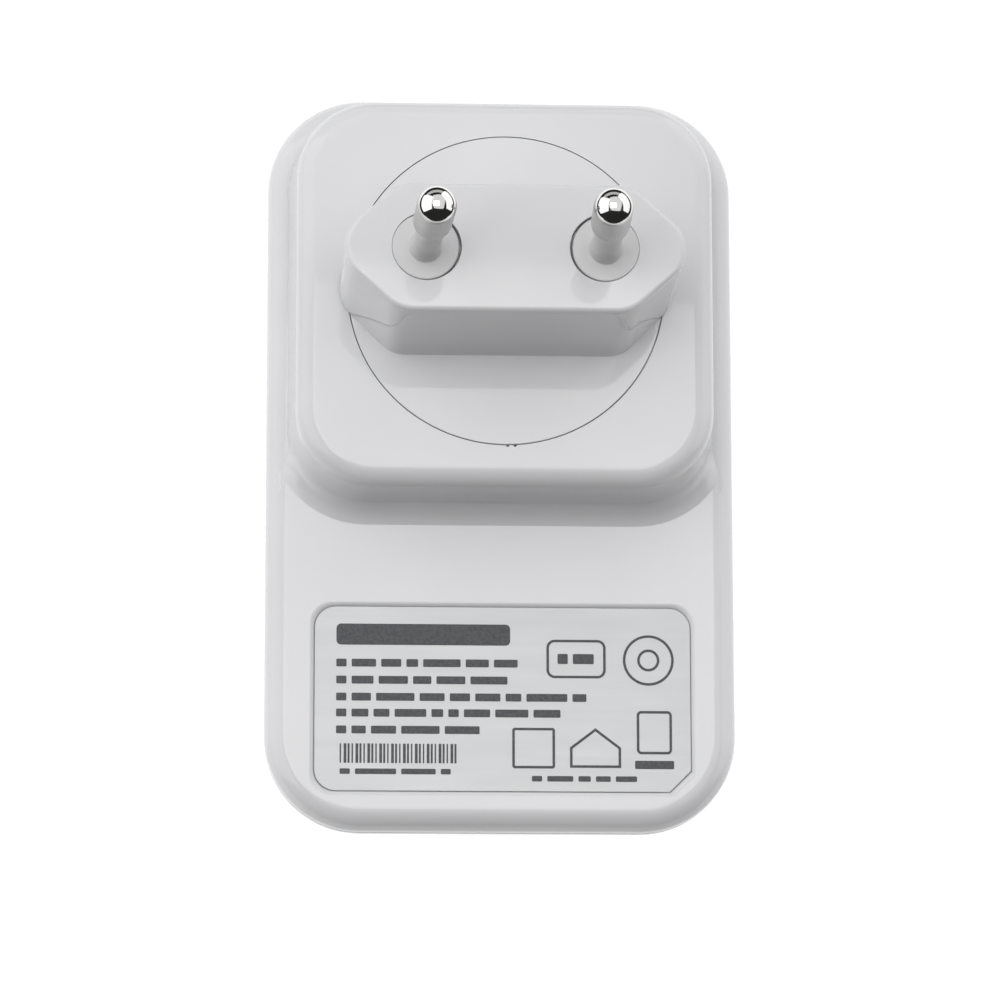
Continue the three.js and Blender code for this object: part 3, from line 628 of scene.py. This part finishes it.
def rear_housing():
    rings = [body_ring(PARTING_Z, 0.12), body_ring(PARTING_Z + 0.12, 0)]
    for angle in quarter(10):
        z = REAR_Z - REAR_EDGE * (1 - math.sin(angle))
        rings.append(body_ring(z, REAR_EDGE * (1 - math.cos(angle))))
    body = loft(rings)
    rim = [platform_ring(PLATFORM_EDGE * (1 - math.sin(angle))) for angle in quarter(16)]
    middle = platform_ring(5)
    platform = loft([*reversed(cove_rings()), middle, *rim])
    shell = combine(body, [platform], "UNION")

    body_hollow = loft([body_ring(PARTING_Z - 3, WALL), body_ring(REAR_Z - 1.8, WALL)])
    hollow_depths = (PLATFORM_Z - PARTING_Z + 1, HOLLOW_FOOT, WALL)
    platform_hollow = loft([platform_ring(depth, WALL) for depth in hollow_depths])
    shell = combine(shell, [body_hollow, platform_hollow], "DIFFERENCE")

    seat_bottom = SEAT_Z - 1.6
    seat = shifted(lathe([(13, seat_bottom), (18.6, seat_bottom), (18.6, 29), (13, 29)]), y=PLUG_Y)
    lip = body_band(PARTING_Z - 1.4, PARTING_Z + 1.2, WALL - 0.5, WALL + 1.3)
    shell = combine(shell, [seat, lip], "UNION")

    def disc_ring(grow, z):
        radius = DISC_RADIUS + DISC_GAP + grow
        steps = 160
        angles = [2 * math.pi * i / steps for i in range(steps)]
        return [(radius * math.cos(a), PLUG_Y + radius * math.sin(a), z) for a in angles]

    disc_recess = rim_cutter(disc_ring, SEAT_Z, PLATFORM_Z, 0.04)
    lip_step = body_band(PARTING_Z - 3, PARTING_Z - 0.001, -1, WALL + 0.4)
    gap_half = JACK_HALF_WIDTH + 0.6
    jack_gap = box(-gap_half, gap_half, -60, JACK_BACK, 0, PARTING_Z)
    label_recess = rim_cutter(label_ring, REAR_Z - LABEL_RECESS, REAR_Z, 0.55)
    rim_y = PLUG_Y - DISC_RADIUS - DISC_GAP
    nick = [(0, 29), (0.16, 29), (0.2, 31), (0, 31)]
    nicks = [shifted(lathe(nick, 16), x, rim_y) for x in NICKS_X]
    return combine(shell, [disc_recess, lip_step, jack_gap, label_recess, *nicks], "DIFFERENCE")


def front_inset(z):
    return max(0.0, PARTING_Z - PARTING_GAP - FRONT_LIP - z) * FRONT_DRAFT


def pill_ring(x, length, height, y, segments=12):
    """A pill outline in the YZ plane at x, centred on the pair button's height."""
    half_length, half_height = length / 2, height / 2
    outline = rounded_rect(
        -half_length, half_length, -half_height, half_height, half_height - 0.01, segments)
    return [(x, y + along, BUTTON_Z + up) for along, up in outline]


def pill(x0, x1, length, height, y):
    return loft([pill_ring(x0, length, height, y), pill_ring(x1, length, height, y)])


def on_side(bm, x, y):
    """Lays a piece turned about Z along +X at the buttons' height."""
    return moved(bm, Matrix.Translation((x, y, BUTTON_Z)) @ Matrix.Rotation(math.pi / 2, 4, "Y"))


def front_housing():
    top = PARTING_Z - PARTING_GAP
    rings = []
    for angle in quarter(10):
        inset = front_inset(FRONT_EDGE) + FRONT_EDGE_RUN * (1 - math.sin(angle))
        rings.append(body_ring(FRONT_EDGE * (1 - math.cos(angle)), inset))
    rings += [body_ring(z, front_inset(z)) for z in (6, 9, 12, top - FRONT_LIP - 0.3)]
    rings += [body_ring(top - FRONT_LIP, 0), body_ring(top - 0.12, 0), body_ring(top, 0.12)]
    inner_edge = FRONT_EDGE + 0.4
    hollow = loft([
        body_ring(WALL, front_inset(FRONT_EDGE) + WALL + 1.2),
        body_ring(inner_edge, front_inset(inner_edge) + WALL),
        body_ring(top - FRONT_LIP, WALL),
        body_ring(top + 1, WALL),
    ])
    gap = 0.3
    port_half = JACK_HALF_WIDTH + gap
    port = rounded_rect(-port_half, port_half, JACK_BOTTOM - gap, JACK_TOP + gap, 0.7)
    port_cut = loft([[(x, y, z) for x, z in port] for y in (JACK_FRONT + 4, -60)])
    button_cut = pill(18, 30, 9.6, 4.8, BUTTON_Y)
    reset_cut = on_side(lathe([(0, 0), (0.9, 0), (0.9, 12), (0, 12)], 48), 18, RESET_Y)
    cutters = [hollow, port_cut, button_cut, reset_cut]
    hole, edge = 1.4, 0.25
    rim = [(hole + edge * (1 - math.sin(a)), edge * (1 - math.cos(a))) for a in quarter(5)]
    window = [(0, -1), (hole + edge, -1), *rim, (hole, WALL + 1), (0, WALL + 1)]
    for i in (-1, 0, 1):
        cutters.append(shifted(lathe(window, 48), i * LIGHT_SPACING, LIGHT_Y))
    shell = combine(loft(rings), cutters, "DIFFERENCE")
    post = [(1.3, WALL - 0.3), (2.9, WALL - 0.3), (2.7, 4.3), (1.3, 4.3)]
    posts = [shifted(lathe(post, 40), x, y) for x, y in SCREW_POSTS]
    return combine(shell, posts, "UNION")


# ------------------------------------------------------------------ plug
def softened(loop, reach, segments):
    """Replaces each corner of a closed outline by a curve that starts and ends `reach` from it."""
    points = []
    for i, corner in enumerate(loop):
        before, after = loop[i - 1], loop[(i + 1) % len(loop)]
        ends = []
        for other in (before, after):
            distance = (corner - other).length
            ends.append(corner.lerp(other, min(reach, 0.45 * distance) / distance))
        for step in range(segments + 1):
            t = step / segments
            point = ends[0] * (1 - t) ** 2 + corner * 2 * t * (1 - t) + ends[1] * t**2
            points.append((point.x, point.y + PLUG_Y))
    return points


def block_ring(height):
    """The plug block's outline at a height: a long, blunt hexagon that draws in upwards."""
    draft = 0.4 * height / BLOCK_HEIGHT
    into_edge = min(1.0, max(0.0, height - (BLOCK_HEIGHT - BLOCK_EDGE)) / BLOCK_EDGE)
    shrink = BLOCK_EDGE * (1 - math.sqrt(1 - into_edge**2))
    tip_x = 17.75 - draft / 2 - shrink
    corner_x = 12.3 - draft / 2 - shrink / 2
    side_y = 7.2 - draft - shrink
    half = [(tip_x, 1.7), (corner_x, side_y), (-corner_x, side_y), (-tip_x, 1.7)]
    loop = [Vector(p) for p in half] + [Vector((-x, -y)) for x, y in half]
    return level(softened(loop, 1.6, 12), PLATFORM_Z + height)


def witness_groove(block, side):
    """A fine line left by the mould, which climbs the block's slanted wall and fades out."""
    line = [(16.6, -2.9, 0.5), (15.6, -3.8, 3.6), (14.5, -4.9, 6.7), (13.3, -5.9, 9.1),
            (12.5, -6.7, 10.6), (11.9, -6.9, 13.2), (11.2, -6.9, 16.4), (10.3, -6.8, 18.0)]
    points = [Vector((side * x, PLUG_Y + y, PLATFORM_Z + h)) for x, y, h in line]
    block.faces.ensure_lookup_table()
    surface = BVHTree.FromBMesh(block)
    steps = 8
    path = []
    for i in range(len(points) - 1):
        p0, p1 = points[max(i - 1, 0)], points[i]
        p2, p3 = points[i + 1], points[min(i + 2, len(points) - 1)]
        for step in range(steps):
            t = step / steps
            smooth = 0.5 * (2 * p1 + (p2 - p0) * t + (2 * p0 - 5 * p1 + 4 * p2 - p3) * t**2
                            + (3 * p1 - p0 - 3 * p2 + p3) * t**3)
            path.append(surface.find_nearest(smooth)[0])
    rings = []
    for i, centre in enumerate(path):
        along = (path[min(i + 1, len(path) - 1)] - path[max(i - 1, 0)]).normalized()
        across = along.cross(Vector((0, 0, 1))).normalized()
        up = along.cross(across)
        radius = GROOVE_RADIUS * min(1.0, (len(path) - i) / GROOVE_FADE)
        ring = []
        for k in range(GROOVE_SIDES):
            angle = 2 * math.pi * k / GROOVE_SIDES
            ring.append(tuple(centre + (across * math.cos(angle) + up * math.sin(angle)) * radius))
        rings.append(ring)
    return loft(rings)


def plug_insert():
    disc_bottom = PLATFORM_Z - DISC_THICKNESS
    rounding = rounded_edge(DISC_EDGE, PLATFORM_Z, 0.1, 5)
    profile = [(0, disc_bottom), (DISC_EDGE, disc_bottom), *rounding, (0, PLATFORM_Z)]
    disc = shifted(lathe(profile, 160), y=PLUG_Y)
    hub_top = disc_bottom + 0.5
    hub = lathe([(0, 22.6), (12.3, 22.6), (12.6, 22.9), (12.6, hub_top), (0, hub_top)])
    hub = shifted(hub, y=PLUG_Y)
    outline = [(x, y) for x, y, _ in block_ring(0)]
    foot_radius = DISC_RADIUS - 0.35
    past_disc = lathe([(foot_radius, 28), (30, 28), (30, 33), (foot_radius, 33)])
    foot = loft([level(outline, PLATFORM_Z), level(outline, PLATFORM_Z + 0.5)])
    foot = combine(foot, [shifted(past_disc, y=PLUG_Y)], "DIFFERENCE")
    foot = shifted(foot, z=-0.1)

    edge_start = BLOCK_HEIGHT - BLOCK_EDGE
    heights = [0.3, 5, 10, 15] + [edge_start + BLOCK_EDGE * math.sin(angle) for angle in quarter(8)]
    block = loft([block_ring(height) for height in heights])
    grooves = [witness_groove(block, side) for side in (-1, 1)]
    block = combine(block, grooves, "DIFFERENCE")
    insert = combine(block, [foot, disc, hub], "UNION")

    disc_front = PLUG_Y - DISC_RADIUS
    cutters = [box(-0.5, 0.5, disc_front - 1, disc_front + 0.5, disc_bottom - 1, PLATFORM_Z - 0.8)]
    lip = [(WELL_RADIUS + WELL_LIP * (1 - math.cos(a)), BLOCK_Z - WELL_LIP * (1 - math.sin(a)))
           for a in quarter(5)]
    bottom, above = BLOCK_Z - WELL_DEPTH, BLOCK_Z + 2
    well = [(0, bottom), (WELL_RADIUS, bottom), *lip, (WELL_RADIUS + WELL_LIP, above), (0, above)]
    bore = [(0, -31), (1.25, -31), (1.25, -8.2), (2.4, -8.2), (2.4, 0), (0, 0)]
    for side in (-1, 1):
        cutters.append(shifted(lathe(well), side * WELL_OFFSET, PLUG_Y))
        cutters.append(moved(lathe(bore, 48), pin_place(side)))
    return combine(insert, cutters, "DIFFERENCE")


def pin_place(side):
    """Stands a piece turned about Z on the plug face, leaning as that pin leans."""
    return (Matrix.Translation((side * PIN_HALF_SPACING, PLUG_Y, BLOCK_Z))
            @ Matrix.Rotation(-side * PIN_LEAN, 4, "Y"))


def mains_pin():
    shoulder = SLEEVE_LENGTH + 0.3
    start = PIN_LENGTH - PIN_RADIUS
    edge = 0.15
    foot = [(PIN_RADIUS - edge * (1 - math.sin(a)), shoulder + edge * (1 - math.cos(a)))
            for a in quarter(4)]
    dome = [(PIN_RADIUS * math.cos(a), start + PIN_RADIUS * math.sin(a)) for a in quarter(24)[:-1]]
    tail = [(0, -PIN_TAIL), (PIN_SHANK, -PIN_TAIL), (PIN_SHANK, shoulder)]
    return lathe([*tail, *foot, *dome, (0, PIN_LENGTH)])


def pin_sleeve():
    """Insulating sleeve, which swells at its foot, and the round flange that fills the well."""
    bore = PIN_SHANK + 0.25
    tail = FLANGE_BOTTOM - 5.4
    edge = rounded_edge(FLANGE_RADIUS, FLANGE_TOP, 0.15, 4)
    swell = [(SLEEVE_RADIUS + 0.2 * math.cos(a) ** 2, 0.1 + a) for a in quarter(12)]
    return lathe([
        (bore, tail), (2.1, tail), (2.1, FLANGE_BOTTOM), (FLANGE_RADIUS, FLANGE_BOTTOM), *edge,
        (1.85, FLANGE_TOP), (1.75, FLANGE_TOP + 0.05), *swell,
        (SLEEVE_RADIUS, SLEEVE_LENGTH - 0.1), (SLEEVE_RADIUS - 0.08, SLEEVE_LENGTH),
        (bore, SLEEVE_LENGTH),
    ])


# ------------------------------------------------------------------ label
def rating_label():
    bottom, top = LABEL_TOP - 0.25, LABEL_TOP
    gap, edge = 0.02, 0.04
    rings = ((-gap, bottom), (-gap, top - edge), (-gap - edge, top))
    return loft([label_ring(grow, z) for grow, z in rings])


def add_prism(bm, outline, z0, z1, inner=None):
    """A flat printed shape: an outline with thickness, or a frame if an inner outline is given."""
    outer = [level(outline, z0), level(outline, z1)]
    if inner is None:
        add_rings(bm, outer)
    else:
        add_rings(bm, [*outer, level(inner, z1), level(inner, z0)], True)


def frame_of(points, width):
    """The same outline moved inwards, for outlines that turn anticlockwise round their middle."""
    inner = []
    for i, point in enumerate(points):
        before, here = Vector(points[i - 1]), Vector(point)
        after = Vector(points[(i + 1) % len(points)])
        first = (here - before).normalized()
        second = (after - here).normalized()
        normal = Vector((-first.y - second.y, first.x + second.x))
        inner.append(tuple(here + normal * width / (1 + first.dot(second))))
    return inner


def dash_widths(total, seed):
    """Splits a line's length into dashes of uneven length, by a random draw that never changes."""
    factor, modulus = 16807, 2147483647
    widths, used, state = [], 0.0, seed
    while used < total - 0.8:
        state = (state * factor) % modulus
        width = min(1.1 + 3.4 * (state / modulus), total - used)
        widths.append(width)
        used += width + DASH_GAP
    return widths


def label_print():
    """Generic print: dashes stand for lines of words, and plain outlines stand for the symbols."""
    bm = bmesh.new()
    low, high = LABEL_TOP - 0.01, LABEL_TOP + 0.015

    def bar(x0, x1, y0, y1, radius=0.12):
        outline = rounded_rect(x0, x1, y0 + LABEL_Y, y1 + LABEL_Y, min(radius, (y1 - y0) / 2.1), 4)
        add_prism(bm, outline, low, high)

    def outlined(points, width=0.28):
        moved_points = [(x, y + LABEL_Y) for x, y in points]
        add_prism(bm, moved_points, low, high, frame_of(moved_points, width))

    def circle(x, y, radius, steps=64):
        angles = [2 * math.pi * i / steps for i in range(steps)]
        return [(x + radius * math.cos(a), y + radius * math.sin(a)) for a in angles]

    def dashes(x0, x1, y, height, seed):
        x = x0
        for width in dash_widths(x1 - x0, seed):
            bar(x, x + width, y - height / 2, y + height / 2)
            x += width + DASH_GAP

    bar(-17.7, 1.0, 5.8, 8.1, 0.5)
    lines = ((1.8, 3.85), (0.7, 2.0), (9.2, 0.16), (6.4, -1.57), (-1.5, -3.4))
    for row, (end, y) in enumerate(lines):
        dashes(-17.7, end, y, 0.85, 11 + 7 * row)
    x = -17.3
    for i in range(30):
        width = (0.16, 0.3, 0.22)[i % 3]
        bar(x, x + width, -7.0, -4.9, 0.02)
        x += 0.424
    dashes(-17.3, -5.4, -7.9, 0.6, 91)
    dashes(3.3, 14.6, -8.6, 0.6, 57)
    outlined(rounded_rect(4.9, 11.3, 2.3, 6.5, 0.9, 8))
    dashes(6.1, 10.4, 4.4, 1.1, 33)
    outlined(circle(15.9, 4.3, 2.75))
    outlined(circle(15.9, 4.3, 1.2))
    outlined(rounded_rect(1.2, 5.8, -7.5, -3.1, 0.3, 6))
    outlined([(7.4, -7.4), (12.9, -7.4), (12.9, -5.2), (10.15, -3.1), (7.4, -5.2)])
    outlined(rounded_rect(14.6, 18.4, -5.9, -1.2, 0.5, 6))
    bar(14.4, 18.6, -7.5, -6.6)
    return bm


# ------------------------------------------------------------------ socket, button and windows
def ethernet_jack():
    """The network socket's body: a flared mouth, the latch's keyway and the contacts' slots."""
    def ring(points, y):
        return [(x, y, z) for x, z in points]

    edge = 0.3
    inner_half = JACK_HALF_WIDTH - edge
    outer = rounded_rect(-JACK_HALF_WIDTH, JACK_HALF_WIDTH, JACK_BOTTOM, JACK_TOP, 0.45, 6)
    inner = rounded_rect(-inner_half, inner_half, JACK_BOTTOM + edge, JACK_TOP - edge, 0.3, 6)
    body = loft([ring(inner, JACK_FRONT), ring(outer, JACK_FRONT + edge), ring(outer, JACK_BACK)])
    mouth = rounded_rect(-6, 6, 3.5, 10.4, 0.25, 5)
    flare = rounded_rect(-6.45, 6.45, 3.05, 10.85, 0.5, 5)
    port = loft([ring(flare, JACK_FRONT - 1), ring(flare, JACK_FRONT),
                 ring(mouth, JACK_FRONT + 0.5), ring(mouth, PORT_BACK)])
    keyway = rounded_rect(-3.1, 3.1, 9.9, 12.1, 0.25, 5)
    key_flare = rounded_rect(-3.45, 3.45, 9.9, 12.45, 0.4, 5)
    latch = loft([ring(key_flare, JACK_FRONT - 1), ring(key_flare, JACK_FRONT),
                  ring(keyway, JACK_FRONT + 0.4), ring(keyway, LATCH_BACK)])
    slots = []
    for i in range(8):
        x = (i - 3.5) * CONTACT_PITCH
        slots.append(box(x - 0.3, x + 0.3, JACK_FRONT + 1, -25.1, 3.1, 3.8))
    return combine(body, [port, latch, *slots], "DIFFERENCE")


def pair_button():
    """The button's cap: a rounded crown with a plain ring on it, a retaining flange and a stem."""
    face, crown = 24.55, 0.45
    length, height = 9, 4.2
    flange_in, flange_out = 19.7, 20.5
    rings = [pill_ring(x, 10.8, 5.4, BUTTON_Y) for x in (flange_in, flange_out)]
    rings.append(pill_ring(flange_out, length, height, BUTTON_Y))
    for angle in quarter(6):
        inset = 2 * crown * (1 - math.cos(angle))
        x = face - crown * (1 - math.sin(angle))
        rings.append(pill_ring(x, length - inset, height - inset, BUTTON_Y))
    stem = on_side(lathe([(0, 0), (1, 0), (1, 0.6), (0, 0.6)], 32), 19.3, BUTTON_Y)
    groove = on_side(lathe([(0.9, -0.08), (1.15, -0.08), (1.15, 1), (0.9, 1)], 48), face, BUTTON_Y)
    return combine(combine(loft(rings), [stem], "UNION"), [groove], "DIFFERENCE")


def light_pipe(x):
    crown = [(1.1 * math.sin(a), 0.4 - 0.3 * math.cos(a)) for a in quarter(6)[1:]]
    profile = [(0, 0.1), *crown, (1.1, 2.4), (1.9, 2.4), (1.9, 3.1), (0, 3.1)]
    return shifted(lathe(profile, 48), x, LIGHT_Y)


def front_icons():
    """Generic pictograms over the three windows: a switch ring, a house and a connector."""
    bm = bmesh.new()
    z0, z1 = 0.0, 0.03
    steps = 40
    y = LIGHT_Y + 4.6

    def ring_part(x, radius, start, end, width=0.22):
        angles = [math.radians(start + (end - start) * i / steps) for i in range(steps + 1)]
        outer = [(x + radius * math.cos(a), y + radius * math.sin(a)) for a in angles]
        inside = radius - width
        inner = [(x + inside * math.cos(a), y + inside * math.sin(a)) for a in reversed(angles)]
        add_rings(bm, [level(outer + inner, z0), level(outer + inner, z1)])

    ring_part(-LIGHT_SPACING, 1.15, 125, 415)
    left, right = -LIGHT_SPACING - 0.11, -LIGHT_SPACING + 0.11
    add_prism(bm, [(left, y), (right, y), (right, y + 1.3), (left, y + 1.3)], z0, z1)
    house = [(-1.1, y - 1), (1.1, y - 1), (1.1, y + 0.1), (0, y + 1.2), (-1.1, y + 0.1)]
    add_prism(bm, house, z0, z1, frame_of(house, 0.22))
    square = rounded_rect(LIGHT_SPACING - 1.1, LIGHT_SPACING + 1.1, y - 1, y + 1, 0.25, 5)
    add_prism(bm, square, z0, z1, frame_of(square, 0.22))
    tongue = rounded_rect(LIGHT_SPACING - 0.5, LIGHT_SPACING + 0.5, y - 1, y - 0.3, 0.1, 4)
    add_prism(bm, tongue, z0, z1)
    return bm


# ------------------------------------------------------------------ the object
finish_cad_nodes()

finished("rear_shell", rear_housing(), WHITE, "housing", ["rear_housing"])
finished("front_shell", front_housing(), WHITE, "housing", ["front_housing"])
finished("plug_face", plug_insert(), WHITE, "housing", ["plug_insert"])
for word, side in (("left", -1), ("right", 1)):
    pin = moved(mains_pin(), pin_place(side))
    finished(f"pin_{word}", pin, MATERIALS["nickel"], "housing", [f"mains_pin_{word}"])
    sleeve = moved(pin_sleeve(), pin_place(side))
    finished(f"sleeve_{word}", sleeve, SLEEVE_PLASTIC, "housing",
             [f"pin_sleeve_{word}"])
finished("label_sheet", rating_label(), MATERIALS["label"], "housing", ["rating_label"])
finished("label_marks", label_print(), LABEL_INK, "housing")
finished("network_socket", ethernet_jack(), MATERIALS["black_plastic"], "housing",
         ["ethernet_jack"])
finished("button_cap", pair_button(), WHITE, "pair_button", ["pair_button"])
for i, word in enumerate(("power", "powerline", "ethernet")):
    pipe = light_pipe((i - 1) * LIGHT_SPACING)
    finished(f"window_{word}", pipe, MATERIALS["clear_plastic"], "housing",
             [f"light_pipe_{word}"])
finished("front_marks", front_icons(), LABEL_INK, "housing")


# ------------------------------------------------------------------ stage
def floor():
    """A pale sheet that glows evenly. It ends near the object, so little light comes from below."""
    bm = bmesh.new()
    bmesh.ops.create_grid(bm, x_segments=8, y_segments=8, size=0.125)
    bmesh.ops.translate(bm, verts=bm.verts, vec=(0, 0.02, 0))
    plane = as_object("floor", bm)
    m = Nodes("floor_paper")
    m.colour(m.blended(m.noise(40), (0.11, 0.11, 0.11), (0.13, 0.13, 0.13)))
    m.set(Roughness=0.8, Emission_Color=(1, 1, 1, 1), Emission_Strength=0.96)
    plane.data.materials.append(m.material)
    plane.location.z = -0.0002


def softbox(name, direction, distance, size, radiance):
    """A rectangular light that faces the plug block. Radiance 1 shows as white."""
    data = bpy.data.lights.new(name, "AREA")
    data.shape = "RECTANGLE"
    data.size, data.size_y = size
    data.energy = radiance * math.pi * size[0] * size[1]
    lamp = bpy.data.objects.new(name, data)
    bpy.context.scene.collection.objects.link(lamp)
    towards = Vector(direction).normalized()
    upright = Vector((0, 0, 1)) if abs(towards.z) < 0.8 else Vector((0, 1, 0))
    across = upright.cross(towards).normalized()
    turn = Matrix((across, towards.cross(across), towards)).transposed()
    aim = Vector((0, PLUG_Y, 50)) * MM
    lamp.matrix_world = Matrix.Translation(aim + towards * distance) @ turn.to_4x4()


def dim_world():
    """A dark studio beyond the lights; the camera itself sees a pale backdrop."""
    world = bpy.data.worlds.new("studio")
    bpy.context.scene.world = world
    world.use_nodes = True
    tree = world.node_tree
    background = tree.nodes["Background"]
    background.inputs["Color"].default_value = (0.02, 0.02, 0.02, 1)
    pale = tree.nodes.new("ShaderNodeBackground")
    pale.inputs["Color"].default_value = (1, 1, 1, 1)
    seen = tree.nodes.new("ShaderNodeLightPath")
    mix = tree.nodes.new("ShaderNodeMixShader")
    tree.links.new(seen.outputs["Is Camera Ray"], mix.inputs[0])
    tree.links.new(background.outputs[0], mix.inputs[1])
    tree.links.new(pale.outputs[0], mix.inputs[2])
    tree.links.new(mix.outputs[0], tree.nodes["World Output"].inputs[0])


def camera():
    """A long lens above the plug side, which looks 11 degrees towards +Y and 3 degrees towards +X."""
    data = bpy.data.cameras.new("camera")
    data.sensor_width = 36
    data.lens = 174.5
    data.clip_start, data.clip_end = 0.01, 20
    cam = bpy.data.objects.new("camera", data)
    bpy.context.scene.collection.objects.link(cam)
    turn_x, turn_y, turn_z = 0.1927, -0.0537, -0.0016
    turn = (Matrix.Rotation(turn_y, 4, "Y") @ Matrix.Rotation(turn_x, 4, "X")
            @ Matrix.Rotation(turn_z, 4, "Z"))
    place = Vector((-27.717, -121.191 + PLUG_Y, 503.117 + PLATFORM_Z)) * MM
    cam.matrix_world = Matrix.Translation(place) @ turn
    bpy.context.scene.camera = cam


floor()
dim_world()
softbox("overhead", (0.16, 0.2, 1), 0.9, (1.215, 1.62), 0.75)
softbox("lamp_head", (-0.11, 0.0, 1), 0.85, (0.56, 0.42), 2.45)
softbox("left", (-1, 0.15, 0.477), 0.4, (0.62, 0.55), 1.25)
softbox("right", (0.924, 0.383, 0.249), 0.7, (1.28, 0.68), 1.12)
softbox("backdrop", (0, 1, 0.19), 1.2, (3.0, 0.44), 0.5)
camera()
bpy.context.scene.view_settings.view_transform = "Standard"
